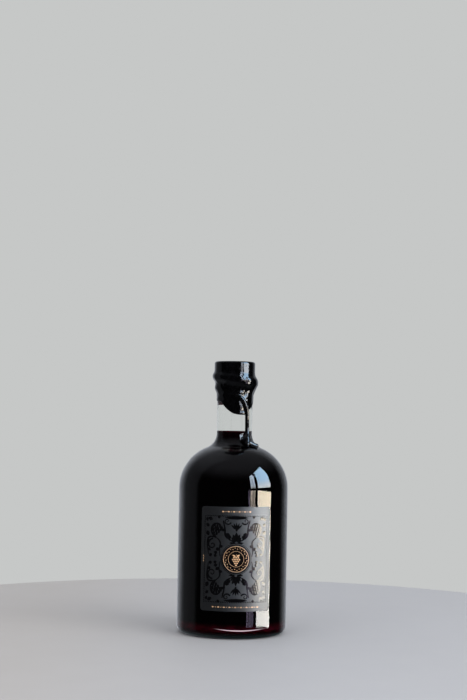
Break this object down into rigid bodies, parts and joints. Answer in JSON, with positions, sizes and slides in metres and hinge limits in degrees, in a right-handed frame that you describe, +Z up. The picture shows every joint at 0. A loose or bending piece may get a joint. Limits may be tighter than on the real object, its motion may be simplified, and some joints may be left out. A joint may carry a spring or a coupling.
{
  "type": "wine bottle",
  "caption": "Stocky clear glass bottle of dark wine with a round shoulder and short neck, sealed with dipped black wax that runs down in a long drip, and a dark label on its front.",
  "frame": {"origin": "centre of the circular foot, on the surface the bottle stands on", "axes": "+Z up along the bottle's axis, -Y to the front where the label is, +X to the right of it"},
  "size_m": [0.091, 0.0912, 0.225],
  "materials": {
    "glass": "clear bottle glass, very slightly green where it is thick",
    "wine": "red wine, nearly black in bulk and dark red at thin edges",
    "stopper": "cork stained dark red by the wine",
    "wax": "glossy black sealing wax",
    "label": "charcoal coated paper with gloss black and copper print"
  },
  "bodies": {
    "root": {"glass": "glass", "wine": "wine", "stopper": "stopper", "wax": "wax", "label": "label"}
  },
  "joints": []
}
